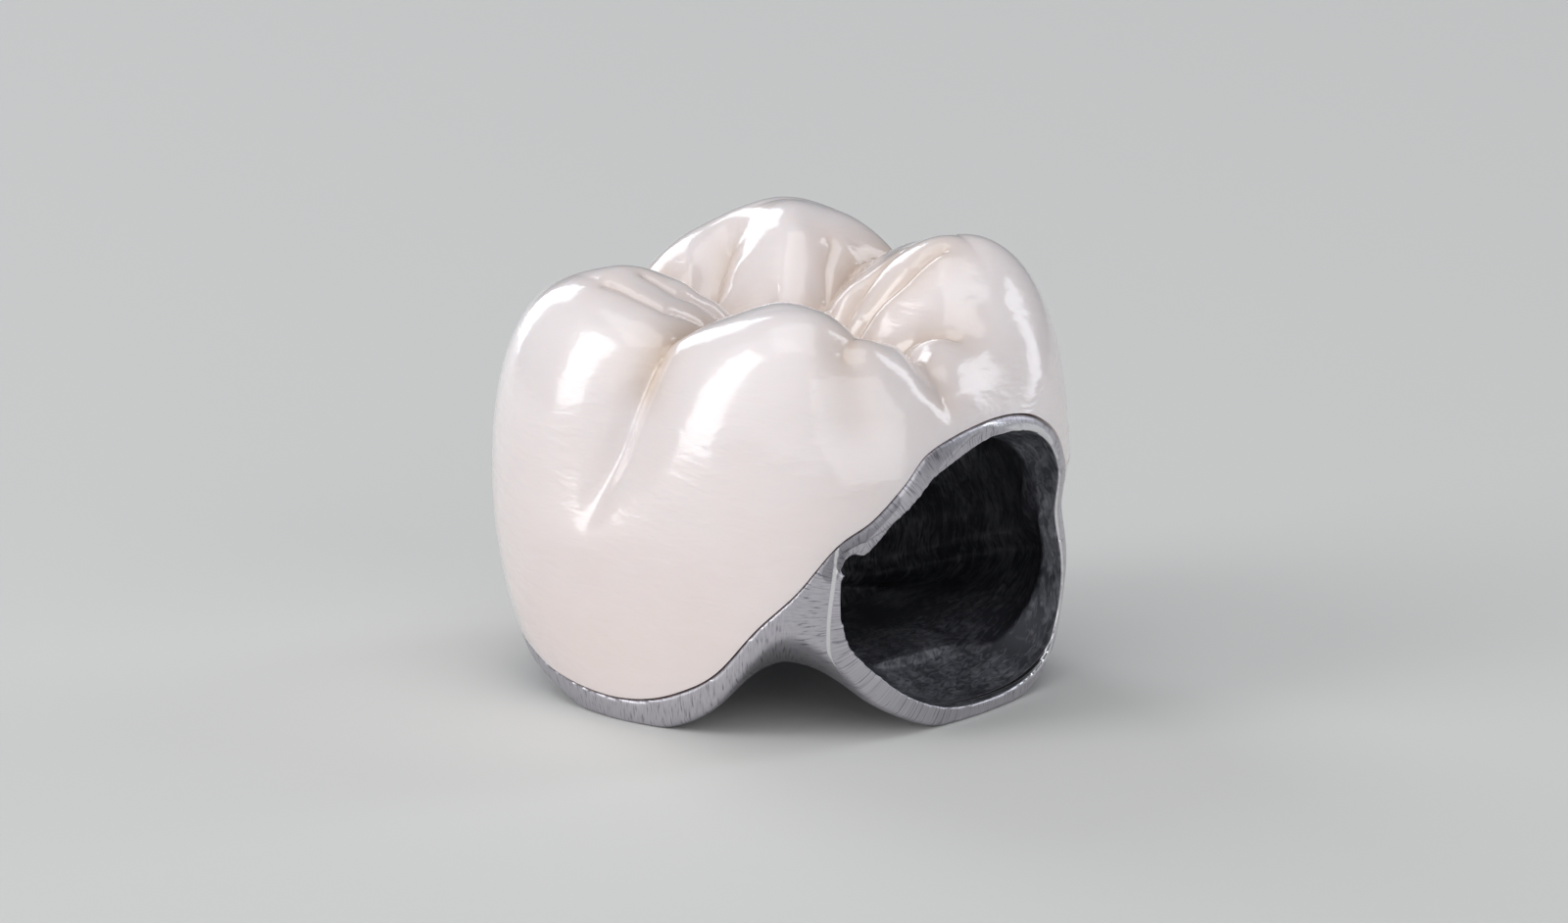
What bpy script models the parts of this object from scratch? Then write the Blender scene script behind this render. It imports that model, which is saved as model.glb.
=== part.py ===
# Metal-ceramic molar crown: a porcelain veneer fused over a cast metal coping.
# X runs from mesial (-) to distal (+), Y from buccal (-) to lingual (+), Z up to the cusps.
# Lengths are in millimetres until the meshes are made, where MM turns them into metres.

import math

import bmesh
import bpy
from mathutils import Vector

MM = 0.001

# Outer form: the greatest contour, and the neck where the metal ends
CROWN_LENGTH = 11.2
CROWN_WIDTH = 10.4
CONTOUR_HEIGHT = 4.7
CONTOUR_SQUARENESS = 2.8
NECK_LENGTH = 9.9
NECK_WIDTH = 9.4
NECK_SQUARENESS = 2.15
SHOULDER_SHARPNESS = 6.8
WALL_FULLNESS = 2.2

# Heights of the cusps and of the dips between them, by the angle round the crown
CREST_HEIGHTS = [
    (-133, 8.92),
    (-92, 8.35),
    (-54, 9.15),
    (-35, 8.65),
    (-25, 8.15),
    (-13, 7.75),
    (8, 8.05),
    (24, 8.8),
    (43, 9.42),
    (66, 9.0),
    (86, 8.75),
    (106, 9.2),
    (126, 9.4),
    (148, 8.8),
    (168, 8.15),
    (192, 8.35),
]
CREST_RADIUS_SHARE = 0.76

# Chewing surface: a central groove between two pits, and the grooves that branch from it
MESIAL_PIT = (-2.5, 0.3)
DISTAL_PIT = (2.9, -0.35)
CENTRAL_GROOVE_HEIGHT = 7.3
GROOVE_WIDTH = 0.5
GROOVE_DEPTH = 0.5
BRANCH_GROOVES = [
    ((0.0, 0.0), (-0.25, -4.3)),
    ((2.9, -0.35), (3.75, -3.15)),
    ((2.9, -0.35), (4.95, -1.3)),
    ((0.0, 0.0), (0.3, 4.1)),
    ((-2.5, 0.3), (-4.5, 1.2)),
    ((-2.5, 0.3), (-2.7, 2.0)),
]
# The ridge down the inner slope of each cusp: its two ends, half width and height
CUSP_RIDGES = [
    ((-2.7, -3.0), (-1.5, -0.2), 0.75, 0.3),
    ((2.1, -3.2), (0.9, -0.4), 0.75, 0.3),
    ((-2.0, 3.1), (-0.9, 0.7), 0.8, 0.3),
    ((2.9, 2.5), (1.9, 0.5), 0.75, 0.3),
]

# Grooves down the sides: angle at the top and at the foot, height of each, width, depth
SIDE_GROOVES = [
    (-91, -107, 8.2, 3.6, 0.34, 0.26),
    (-39, -36, 8.2, 5.6, 0.5, 0.12),
    (-14, -11, 7.9, 6.9, 0.3, 0.12),
    (86, 88, 8.3, 4.4, 0.34, 0.22),
    (180, 180, 8.3, 1.2, 0.9, 0.06),
]
SIDE_VALLEY_WIDTH = 1.3
SIDE_VALLEY_SHARE = 1.3

# The metal's lower edge: three rounded lobes that the crown stands on, with arches between
LOWER_EDGE_HEIGHTS = [
    (-180, 0.75),
    (-136, 0.25),
    (-108, -0.4),
    (-90, -0.4),
    (-72, 0.25),
    (-56, 1.95),
    (-48, 1.8),
    (-34, 0.45),
    (-13, -0.4),
    (8, -0.42),
    (20, -0.2),
    (30, 0.35),
    (38, 0.85),
    (54, 1.2),
    (85, 0.45),
    (116, -0.4),
    (138, -0.4),
    (160, 0.4),
]
# How far each part of the neck swells beyond its ellipse, by the angle round the crown
NECK_SWELLINGS = [
    (-180, -0.1),
    (-145, -0.05),
    (-100, 0.1),
    (-70, 0.15),
    (-45, 0.45),
    (-12, 0.15),
    (10, 0.2),
    (32, 0.47),
    (65, 0.2),
    (120, 0.0),
]
WAIST_HEIGHT = 3.7
WAIST_REACH = 0.8
WAIST_DEPTHS = [
    (-180, 0.0),
    (-60, 0.0),
    (-30, 0.1),
    (10, 0.15),
    (35, 0.2),
    (60, 0.1),
    (100, 0.0),
]
UNDERSIDE_HEIGHT = 1.0
UNDERSIDE_FULLNESS = 3.0
LOWER_EDGE_ROUNDING = 0.45

# Where the porcelain ends on the metal collar, by the angle round the crown
COLLAR_HEIGHTS = [
    (-180, 1.45),
    (-136, 1.05),
    (-122, 0.7),
    (-104, 0.5),
    (-91, 0.56),
    (-80, 0.86),
    (-70, 1.4),
    (-60, 2.5),
    (-52, 3.3),
    (-44, 4.3),
    (-37, 4.8),
    (-30, 5.45),
    (-24, 5.98),
    (-14, 6.22),
    (0, 6.3),
    (11, 6.17),
    (18, 5.86),
    (24, 5.35),
    (30, 4.4),
    (38, 3.6),
    (60, 2.9),
    (100, 1.9),
    (150, 1.5),
]

# Thicknesses
PORCELAIN_ON_TOP = 1.15
PORCELAIN_ON_SIDE = 1.1
PORCELAIN_AT_MARGIN = 0.42
MARGIN_TAPER = 1.6
BOND_GAP = 0.03
COPING_WALL = 0.42
CORE_SHOULDER_HEIGHT = 3.7
CORE_SHARPNESS = 8.0

# The opening in the distal side: its inner edge as (Y, Z), on a rim face that leans a little
MOUTH_EDGE = [
    (0.43, 5.97),
    (1.42, 5.77),
    (2.2, 5.33),
    (2.42, 4.4),
    (2.5, 3.5),
    (2.62, 2.6),
    (2.7, 1.6),
    (2.31, 0.92),
    (1.43, 0.5),
    (0.33, 0.32),
    (-1.03, 0.38),
    (-1.98, 0.67),
    (-2.69, 1.08),
    (-3.32, 1.64),
    (-3.74, 2.14),
    (-3.95, 2.66),
    (-4.02, 3.1),
    (-3.94, 3.5),
    (-3.7, 3.8),
    (-3.35, 4.05),
    (-2.58, 4.83),
    (-2.11, 5.38),
    (-1.14, 5.66),
    (-0.35, 5.95),
]
RIM_WIDTH = 0.35
RIM_SIDE = (-0.64, 0.77)
RIM_SIDE_FROM = 0.75
RIM_SIDE_BLEND = 0.2
RIM_INSET = 0.05
RIM_FACE_X = 4.85
RIM_LEAN_Y = 0.11
RIM_LEAN_Z = 0.085
RIM_BOW = 0.03
MOUTH_DEPTH = 1.4
MOUTH_NARROWING = 0.17
MOUTH_CURVE = 1.5

# The opening in the base, under the mesial half
BASE_OPENING_CENTRE_X = -1.9
BASE_OPENING_END_X = 0.85
BASE_OPENING_RIM = 0.5
BASE_OPENING_FLARE = 0.9

COLUMNS = 90
PORCELAIN_ROWS = 24
INTERFACE_ROWS = 9
COLLAR_ROWS = 6
ROLL_ROWS = 4
ROLL_SHARE = 0.45
UNDERSIDE_ROWS = 4
CHAMBER_COLUMNS = 48
CHAMBER_ROWS = 14
MOUTH_SEGMENTS = 72
PROFILE_STEPS = 60
CLEAR = 3.0
CHAMBER_FULLNESS = 14.0
WALL_FROM = 2.6
PLUG_LEVELS = [0.0, 0.35, 0.7, 1.0]
PLUG_RINGS = [0.75, 0.5, 0.25]
BASE_OPENING_SQUARENESS = 6


def ease(share):
    share = min(max(share, 0.0), 1.0)
    return share * share * (3 - 2 * share)


def mix(first, second, share):
    return first + (second - first) * share


def cubic(before, first, second, after, start_span, span, end_span, share):
    """A smooth curve from first to second that also heeds the values on either side."""
    start_slope = (second - before) / (start_span + span) * span
    end_slope = (after - first) / (span + end_span) * span
    square, cube = share * share, share * share * share
    return (
        first * (2 * cube - 3 * square + 1)
        + start_slope * (cube - 2 * square + share)
        + second * (3 * square - 2 * cube)
        + end_slope * (cube - square)
    )


def round_the_crown(table, angle):
    """Reads a smooth closed curve through (degrees, value) pairs at an angle in radians."""
    start = table[0][0]
    degrees = (math.degrees(angle) - start) % 360 + start
    last = max(i for i, pair in enumerate(table) if pair[0] <= degrees)

    def knot(index):
        turns, place = divmod(index, len(table))
        return table[place][0] + 360 * turns, table[place][1]

    knots = [knot(last + step) for step in (-1, 0, 1, 2)]
    angles = [pair[0] for pair in knots]
    values = [pair[1] for pair in knots]
    spans = [angles[i + 1] - angles[i] for i in range(3)]
    return cubic(*values, *spans, (degrees - angles[1]) / spans[1])


def superellipse_radius(angle, half_length, half_width, squareness):
    along = abs(math.cos(angle) / half_length) ** squareness
    across = abs(math.sin(angle) / half_width) ** squareness
    return (along + across) ** (-1 / squareness)


def beside_segment(point, start, end):
    """How far a point is from a segment, and how far along it the nearest place is, from 0 to 1."""
    run_x, run_y = end[0] - start[0], end[1] - start[1]
    along = (point[0] - start[0]) * run_x + (point[1] - start[1]) * run_y
    share = min(max(along / (run_x**2 + run_y**2), 0.0), 1.0)
    return math.hypot(point[0] - start[0] - run_x * share, point[1] - start[1] - run_y * share), share


def outline_radius(angle, height):
    """Radius of the outer form without its grooves, from the neck to the greatest contour."""
    share = 1 - max(1 - max(height, 0.0) / CONTOUR_HEIGHT, 0.0) ** WALL_FULLNESS
    radius = superellipse_radius(
        angle,
        mix(NECK_LENGTH, CROWN_LENGTH, share) / 2,
        mix(NECK_WIDTH, CROWN_WIDTH, share) / 2,
        mix(NECK_SQUARENESS, CONTOUR_SQUARENESS, share),
    )
    waist = math.exp(-(((height - WAIST_HEIGHT) / WAIST_REACH) ** 2)) * round_the_crown(WAIST_DEPTHS, angle)
    return radius + round_the_crown(NECK_SWELLINGS, angle) * (1 - share) - waist


def side_groove_depth(angle, height):
    """How far the side grooves, and the broad valleys round them, sink into the wall."""
    total = 0.0
    for top_angle, foot_angle, top, foot, width, depth in SIDE_GROOVES:
        share = (top - height) / (top - foot)
        centre = math.radians(mix(top_angle, foot_angle, min(max(share, 0.0), 1.0)))
        away = math.remainder(angle - centre, 2 * math.pi) * CROWN_WIDTH / 2
        sharp = math.exp(-((away / width) ** 2))
        broad = math.exp(-((away / SIDE_VALLEY_WIDTH) ** 2)) * SIDE_VALLEY_SHARE
        total += depth * (1 - ease(share * 2 - 1)) * (sharp + broad)
    return total


def chewing_height(x, y, grooved):
    """Height of the chewing surface over a point, before the shoulder rounds it off."""
    angle = math.atan2(y, x)
    radius = math.hypot(x, y)
    crest_radius = outline_radius(angle, CONTOUR_HEIGHT) * CREST_RADIUS_SHARE
    inward, _ = beside_segment((x, y), MESIAL_PIT, DISTAL_PIT)
    share = inward / (inward + max(crest_radius - radius, 0.0) + 1e-9)
    height = mix(CENTRAL_GROOVE_HEIGHT, round_the_crown(CREST_HEIGHTS, angle), math.sin(share * math.pi / 2))
    for start, end, width, rise in CUSP_RIDGES:
        away, place = beside_segment((x, y), start, end)
        height += rise * math.exp(-((away / width) ** 2)) * math.sin(math.pi * place)
    if grooved:
        depths = [math.exp(-((inward / GROOVE_WIDTH) ** 2))]
        for start, end in BRANCH_GROOVES:
            away, _ = beside_segment((x, y), start, end)
            depths.append(math.exp(-((away / GROOVE_WIDTH) ** 2)) * (1 - share / 2))
        height -= GROOVE_DEPTH * max(depths)
    return height


def outer_profile(angle):
    """The crown's outer form in one upright plane: (radius, height) from top to bottom."""
    widest = outline_radius(angle, CONTOUR_HEIGHT)
    profile = []
    for step in range(PROFILE_STEPS * 2 + 1):
        share = math.sin(math.pi / 4 * step / PROFILE_STEPS)
        top = chewing_height(widest * share * math.cos(angle), widest * share * math.sin(angle), True)
        height = mix(CONTOUR_HEIGHT, top, math.sqrt(1 - share**SHOULDER_SHARPNESS))
        sunk = side_groove_depth(angle, height) * ease(share * 3 - 2)
        profile.append((widest * share - sunk, height))
    edge = max(round_the_crown(LOWER_EDGE_HEIGHTS, angle), -LOWER_EDGE_ROUNDING)
    for step in range(1, PROFILE_STEPS + 1):
        height = mix(CONTOUR_HEIGHT, edge + LOWER_EDGE_ROUNDING, step / PROFILE_STEPS)
        profile.append((outline_radius(angle, height) - side_groove_depth(angle, height), height))
    neck = profile[-1][0]
    for step in range(1, PROFILE_STEPS + 1):
        turn = math.pi / 2 * step / PROFILE_STEPS
        share = math.cos(turn)
        underside = mix(UNDERSIDE_HEIGHT, edge, share**UNDERSIDE_FULLNESS)
        rolled = math.sqrt(1 - share**SHOULDER_SHARPNESS)
        profile.append((neck * share, max(mix(edge + LOWER_EDGE_ROUNDING, underside, rolled), 0.0)))
    return profile


def side_place(profile, height):
    """Where a profile comes down its side wall to a height, as a place along its points."""
    start = max(range(len(profile)), key=lambda i: profile[i][0] > WALL_FROM and profile[i][1])
    for place in range(start, len(profile) - 1):
        high, low = profile[place][1], profile[place + 1][1]
        if high >= height > low:
            return place + (high - height) / (high - low)
    raise ValueError(f"no side wall at height {height:.2f}")


def stretch(profile, start, end, count):
    """Evenly spaced points between two places along a profile, with both ends."""
    inner = [place for place in range(len(profile)) if start < place < end]
    route = [at(profile, start)] + [profile[place] for place in inner] + [at(profile, end)]
    lengths = [0.0]
    for first, second in zip(route, route[1:]):
        lengths.append(lengths[-1] + math.dist(first, second))
    points = []
    place = 0
    for step in range(count + 1):
        wanted = lengths[-1] * step / count
        while place < len(route) - 2 and lengths[place + 1] < wanted:
            place += 1
        share = (wanted - lengths[place]) / (lengths[place + 1] - lengths[place])
        points.append(tuple(mix(a, b, share) for a, b in zip(route[place], route[place + 1])))
    return points


def at(profile, place):
    first = min(int(place), len(profile) - 2)
    return tuple(mix(a, b, place - first) for a, b in zip(profile[first], profile[first + 1]))


def porcelain_thickness(above_margin):
    return mix(PORCELAIN_AT_MARGIN, PORCELAIN_ON_SIDE, ease(above_margin / MARGIN_TAPER))


def core_profile(angle, margin):
    """The coping under the porcelain, from the top centre down to the margin."""
    profile = []
    for step in range(PROFILE_STEPS + 1):
        share = math.sin(math.pi / 2 * step / PROFILE_STEPS)
        reach = outline_radius(angle, CONTOUR_HEIGHT) * share
        top = chewing_height(reach * math.cos(angle), reach * math.sin(angle), False) - PORCELAIN_ON_TOP
        height = mix(CORE_SHOULDER_HEIGHT, top, math.sqrt(1 - share**CORE_SHARPNESS))
        radius = outline_radius(angle, height) - porcelain_thickness(height - margin)
        profile.append((radius * share, height))
    for step in range(1, PROFILE_STEPS + 1):
        height = mix(CORE_SHOULDER_HEIGHT, 0, step / PROFILE_STEPS)
        profile.append((outline_radius(angle, height) - porcelain_thickness(height - margin), height))
    return stretch(profile, 0, side_place(profile, margin), INTERFACE_ROWS)


def chamber_profile(angle, margin):
    """The hollow inside the coping, from its roof to its floor."""
    edge = round_the_crown(LOWER_EDGE_HEIGHTS, angle)

    def wall_radius(height):
        under_porcelain = ease((height - margin) / COPING_WALL + 2)
        inset = COPING_WALL + porcelain_thickness(height - margin) * under_porcelain
        return outline_radius(angle, height) - inset

    profile = []
    for step in range(PROFILE_STEPS + 1):
        share = math.sin(math.pi / 2 * step / PROFILE_STEPS)
        reach = outline_radius(angle, CONTOUR_HEIGHT) * share
        roof = chewing_height(reach * math.cos(angle), reach * math.sin(angle), False)
        roof -= PORCELAIN_ON_TOP + COPING_WALL
        height = mix(CORE_SHOULDER_HEIGHT, roof, math.sqrt(1 - share**CORE_SHARPNESS))
        profile.append((wall_radius(height) * share, height))
    for step in range(1, PROFILE_STEPS + 1):
        share = math.cos(math.pi / 2 * step / PROFILE_STEPS)
        underside = mix(UNDERSIDE_HEIGHT, max(edge, 0.0), share**UNDERSIDE_FULLNESS)
        floor = underside + COPING_WALL
        height = mix(CORE_SHOULDER_HEIGHT, floor, math.sqrt(1 - share**CHAMBER_FULLNESS))
        profile.append((wall_radius(height) * share, height))
    return stretch(profile, 0, len(profile) - 1, CHAMBER_ROWS)


def raised(profile, distance):
    """A profile moved outward, with its first point kept on the axis and its last one level."""
    moved = [(0.0, profile[0][1] + distance)]
    for before, point, after in zip(profile, profile[1:], profile[2:]):
        length = math.dist(before, after)
        out, up = (before[1] - after[1]) / length, (after[0] - before[0]) / length
        moved.append((point[0] + out * distance, point[1] + up * distance))
    moved.append((profile[-1][0] + distance, profile[-1][1] + distance))
    return moved


def turned(columns, profile_of):
    """One profile for each column round the crown, the first column along +X."""
    return [(2 * math.pi * i / columns, profile_of(2 * math.pi * i / columns)) for i in range(columns)]


def loft(name, sections):
    """A closed body from profiles round the Z axis, whose first and last points are on it."""
    bm = bmesh.new()
    first, last = sections[0][1][0], sections[0][1][-1]
    top = bm.verts.new(Vector((0, 0, first[1])) * MM)
    bottom = bm.verts.new(Vector((0, 0, last[1])) * MM)
    rings = []
    for angle, profile in sections:
        ring = []
        for radius, height in profile[1:-1]:
            place = Vector((radius * math.cos(angle), radius * math.sin(angle), height))
            ring.append((bm.verts.new(place * MM), height - radius))
        rings.append(ring)
    for ring, following in zip(rings, rings[1:] + rings[:1]):
        bm.faces.new((top, ring[0][0], following[0][0]))
        bm.faces.new((bottom, following[-1][0], ring[-1][0]))
        for (a, a_rank), (b, b_rank), (c, _), (d, _) in zip(ring, ring[1:], following[1:], following):
            # Both bodies split their quads the same way, so that their facing sides stay parallel
            if a_rank > b_rank:
                bm.faces.new((a, b, c))
                bm.faces.new((a, c, d))
            else:
                bm.faces.new((a, b, d))
                bm.faces.new((b, c, d))
    return finish_mesh(name, bm)


def finish_mesh(name, bm):
    bmesh.ops.recalc_face_normals(bm, faces=bm.faces)
    mesh = bpy.data.meshes.new(name)
    bm.to_mesh(mesh)
    bm.free()
    thing = bpy.data.objects.new(name, mesh)
    bpy.context.scene.collection.objects.link(thing)
    return thing


def paint(thing, name, colour, roughness, metallic):
    material = bpy.data.materials.new(name)
    material.use_nodes = True
    shader = material.node_tree.nodes["Principled BSDF"]
    shader.inputs["Base Color"].default_value = (*colour, 1)
    shader.inputs["Roughness"].default_value = roughness
    shader.inputs["Metallic"].default_value = metallic
    thing.data.materials.append(material)
    thing.data.shade_smooth()


def porcelain_veneer():
    """Outer face from the top centre to the margin, a butt margin, and back up the inside."""

    def section(angle):
        margin = round_the_crown(COLLAR_HEIGHTS, angle)
        profile = outer_profile(angle)
        outside = stretch(profile, 0, side_place(profile, margin + BOND_GAP), PORCELAIN_ROWS)
        inside = raised(core_profile(angle, margin), BOND_GAP)
        return outside + inside[::-1]

    veneer = loft("porcelain_veneer", turned(COLUMNS, section))
    paint(veneer, "glazed porcelain", (0.82, 0.77, 0.72), 0.12, 0.0)
    veneer.data.set_sharp_from_angle(angle=math.radians(50))
    return veneer


def coping_body():
    """The metal without its hollow: core, shoulder, collar, lobed lower edge and underside."""

    def section(angle):
        margin = round_the_crown(COLLAR_HEIGHTS, angle)
        profile = outer_profile(angle)
        side_foot = 3 * PROFILE_STEPS
        rolled = side_foot + PROFILE_STEPS * ROLL_SHARE
        side = stretch(profile, side_place(profile, margin), side_foot, COLLAR_ROWS)
        roll = stretch(profile, side_foot, rolled, ROLL_ROWS)
        underside = stretch(profile, rolled, len(profile) - 1, UNDERSIDE_ROWS)
        return core_profile(angle, margin) + side + roll[1:] + underside[1:]

    return loft("metal_coping", turned(COLUMNS, section))


def chamber_cutter():
    def section(angle):
        return chamber_profile(angle, round_the_crown(COLLAR_HEIGHTS, angle))

    return loft("chamber_cutter", turned(CHAMBER_COLUMNS, section))


def mouth_outline(grow, elsewhere):
    """A smooth closed curve through the mouth's edge, moved out by one distance on the rim's side."""
    count = len(MOUTH_EDGE)
    outline = []
    for segment in range(MOUTH_SEGMENTS):
        place, share = divmod(segment * count / MOUTH_SEGMENTS, 1)
        near = [Vector(MOUTH_EDGE[(int(place) + step) % count]) for step in (-1, 0, 1, 2)]
        spans = [(near[i + 1] - near[i]).length for i in range(3)]
        outline.append(Vector([cubic(*[point[axis] for point in near], *spans, share) for axis in (0, 1)]))
    grown = []
    for i, point in enumerate(outline):
        along = (outline[(i + 1) % MOUTH_SEGMENTS] - outline[i - 1]).normalized()
        out = Vector((-along.y, along.x))
        on_rim = ease((out.dot(Vector(RIM_SIDE)) - RIM_SIDE_FROM) / RIM_SIDE_BLEND)
        grown.append(point + out * mix(elsewhere, grow, on_rim))
    return grown


def rim_face_x(y, z):
    return RIM_FACE_X + RIM_LEAN_Y * y + RIM_LEAN_Z * z - RIM_BOW * y * y


def mouth_cutter(name, outline, depth, narrowing):
    """A plug through the distal wall, whose inner end follows the rim face at a depth."""
    middle = sum(outline, Vector((0, 0))) / len(outline)
    bm = bmesh.new()
    outer = [bm.verts.new(Vector((CROWN_LENGTH / 2 + CLEAR, p.x, p.y)) * MM) for p in outline]
    bm.faces.new(outer)
    rings = [outer]
    levels = [(depth * level, 1 - narrowing * level**MOUTH_CURVE) for level in PLUG_LEVELS if depth or not level]
    levels += [(depth, (1 - narrowing) * share) for share in PLUG_RINGS]
    for sunk, share in levels:
        ring = []
        for point in outline:
            y, z = middle.lerp(point, share)
            ring.append(bm.verts.new(Vector((rim_face_x(y, z) - sunk, y, z)) * MM))
        rings.append(ring)
    centre = bm.verts.new(Vector((rim_face_x(*middle) - depth, *middle)) * MM)
    for ring, following in zip(rings, rings[1:]):
        for i in range(MOUTH_SEGMENTS):
            bm.faces.new((ring[i - 1], ring[i], following[i], following[i - 1]))
    for i in range(MOUTH_SEGMENTS):
        bm.faces.new((rings[-1][i - 1], rings[-1][i], centre))
    return finish_mesh(name, bm)


def base_opening_reach(turn, rim):
    """Distance from the base opening's centre to its edge, a rim's width inside the neck."""

    def outside(x, y):
        half_length, half_width = NECK_LENGTH / 2 - rim, NECK_WIDTH / 2 - rim
        across = superellipse_radius(math.atan2(y, x), half_length, half_width, NECK_SQUARENESS)
        ahead = max((x - BASE_OPENING_CENTRE_X) / (BASE_OPENING_END_X - BASE_OPENING_CENTRE_X), 0.0)
        return (math.hypot(x, y) / across) ** BASE_OPENING_SQUARENESS + ahead**BASE_OPENING_SQUARENESS > 1

    reach, limit = 0.0, NECK_LENGTH
    while limit - reach > 1e-4:
        tried = (reach + limit) / 2
        x, y = BASE_OPENING_CENTRE_X + tried * math.cos(turn), tried * math.sin(turn)
        reach, limit = (reach, tried) if outside(x, y) else (tried, limit)
    return reach


def base_cutter():
    """A plug under the mesial half, short of the distal lobe, that flares toward the base."""
    roof = UNDERSIDE_HEIGHT + 2 * COPING_WALL
    levels = [
        (-CLEAR, BASE_OPENING_RIM),
        (0.0, BASE_OPENING_RIM),
        (roof, BASE_OPENING_RIM + BASE_OPENING_FLARE),
    ]
    bm = bmesh.new()
    rings = []
    for height, rim in levels:
        ring = []
        for segment in range(MOUTH_SEGMENTS):
            turn = 2 * math.pi * segment / MOUTH_SEGMENTS
            reach = base_opening_reach(turn, rim)
            x, y = BASE_OPENING_CENTRE_X + reach * math.cos(turn), reach * math.sin(turn)
            ring.append(bm.verts.new(Vector((x, y, height)) * MM))
        rings.append(ring)
    for ring, following in zip(rings, rings[1:]):
        for i in range(MOUTH_SEGMENTS):
            bm.faces.new((ring[i - 1], ring[i], following[i], following[i - 1]))
    bm.faces.new(rings[0])
    bm.faces.new(rings[-1])
    return finish_mesh("base_cutter", bm)


def metal_coping():
    coping = coping_body()
    paint(coping, "ground dental alloy", (0.45, 0.45, 0.47), 0.35, 1.0)
    cutters = [
        chamber_cutter(),
        mouth_cutter("mouth_cutter", mouth_outline(0.0, 0.0), MOUTH_DEPTH, MOUTH_NARROWING),
        mouth_cutter("rim_cutter", mouth_outline(RIM_WIDTH, -RIM_INSET), 0.0, 0.0),
        base_cutter(),
    ]
    for cutter in cutters:
        cutter.hide_render = True
        cutter.display_type = "WIRE"
        cut = coping.modifiers.new(cutter.name, "BOOLEAN")
        cut.operation = "DIFFERENCE"
        cut.solver = "EXACT"
        cut.object = cutter
    return coping


def main():
    for thing in list(bpy.data.objects):
        bpy.data.objects.remove(thing, do_unlink=True)
    porcelain_veneer()
    metal_coping()


main()
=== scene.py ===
import math

import bpy
import numpy as np
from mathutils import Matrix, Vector
from mathutils.bvhtree import BVHTree
from mathutils.kdtree import KDTree


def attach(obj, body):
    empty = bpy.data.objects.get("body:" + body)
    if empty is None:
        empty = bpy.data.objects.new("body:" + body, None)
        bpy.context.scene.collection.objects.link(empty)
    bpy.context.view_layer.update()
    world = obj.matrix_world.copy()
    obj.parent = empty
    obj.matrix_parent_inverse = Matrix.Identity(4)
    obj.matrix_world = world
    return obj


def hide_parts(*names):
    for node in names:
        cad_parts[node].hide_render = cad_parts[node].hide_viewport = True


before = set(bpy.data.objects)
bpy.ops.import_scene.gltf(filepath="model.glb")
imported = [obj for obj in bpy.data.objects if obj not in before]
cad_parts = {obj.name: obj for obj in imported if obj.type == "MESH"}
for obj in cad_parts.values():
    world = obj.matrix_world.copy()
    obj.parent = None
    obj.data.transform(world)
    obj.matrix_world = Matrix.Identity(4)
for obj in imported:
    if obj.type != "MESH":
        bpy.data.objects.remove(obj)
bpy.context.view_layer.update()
mm = 0.001  # every form below is worked out in millimetres

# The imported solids' form, with the crests of the near ridge and the distal ridge fitted closer to the photo
crownForm = {
    "length": 11.2,
    "width": 10.4,
    "contourHeight": 4.7,
    "contourSquareness": 2.8,
    "neckLength": 9.9,
    "neckWidth": 9.4,
    "neckSquareness": 2.15,
    "shoulderSharpness": 6.8,
    "wallFullness": 2.2,
    "crestShare": 0.76,
    "crests": [(-133, 8.92), (-92, 8.35), (-54, 9.02), (-36, 8.85), (-25, 8.38), (-13, 7.95), (8, 8.05),
               (24, 8.8), (43, 9.42), (66, 9.0), (86, 8.75), (106, 9.2), (126, 9.4), (148, 8.8),
               (168, 8.15), (192, 8.35)],
    "neckSwellings": [(-180, -0.1), (-145, -0.05), (-100, 0.1), (-70, 0.15), (-45, 0.45), (-12, 0.15),
                      (10, 0.2), (32, 0.47), (65, 0.2), (120, 0.0)],
    "waistHeight": 3.7,
    "waistReach": 0.8,
    "waists": [(-180, 0.0), (-60, 0.0), (-30, 0.1), (10, 0.15), (35, 0.2), (60, 0.1), (100, 0.0)],
    "lowerEdge": [(-180, 0.75), (-136, 0.25), (-108, -0.4), (-90, -0.4), (-72, 0.25), (-56, 1.95), (-48, 1.8),
                  (-34, 0.45), (-13, -0.4), (8, -0.42), (20, -0.2), (30, 0.35), (38, 0.85), (54, 1.2),
                  (85, 0.45), (116, -0.4), (138, -0.4), (160, 0.4)],
    "collar": [(-180, 1.45), (-136, 1.05), (-122, 0.7), (-104, 0.5), (-91, 0.56), (-80, 0.86), (-70, 1.4),
               (-60, 2.5), (-52, 3.3), (-44, 4.3), (-37, 4.8), (-30, 5.45), (-24, 5.98), (-14, 6.22),
               (0, 6.3), (11, 6.17), (18, 5.86), (24, 5.35), (30, 4.4), (38, 3.6), (60, 2.9), (100, 1.9),
               (150, 1.5)],
    "lowerEdgeRounding": 0.45,
    "undersideHeight": 1.0,
    "undersideFullness": 3.0,
}

chewingForm = {
    "mesialPit": (-2.5, 0.3),
    "distalPit": (2.9, -0.35),
    "centralHeight": 7.3,
    "grooveWidth": 0.5,
    "grooveDepth": 0.44,
    "branches": [((0.0, 0.0), (-0.25, -4.3)), ((2.9, -0.35), (3.75, -3.15)), ((2.9, -0.35), (4.95, -1.3)),
                 ((0.0, 0.0), (0.3, 4.1)), ((-2.5, 0.3), (-4.5, 1.2)), ((-2.5, 0.3), (-2.7, 2.0))],
    # the ridge down the inner slope of each cusp: its two ends, half width and height
    "ridges": [((-2.7, -3.0), (-1.5, -0.2), 0.75, 0.3), ((2.1, -3.2), (0.9, -0.4), 0.75, 0.12),
               ((-2.0, 3.1), (-0.9, 0.7), 0.8, 0.3), ((2.9, 2.5), (1.9, 0.5), 0.75, 0.3)],
}

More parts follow.
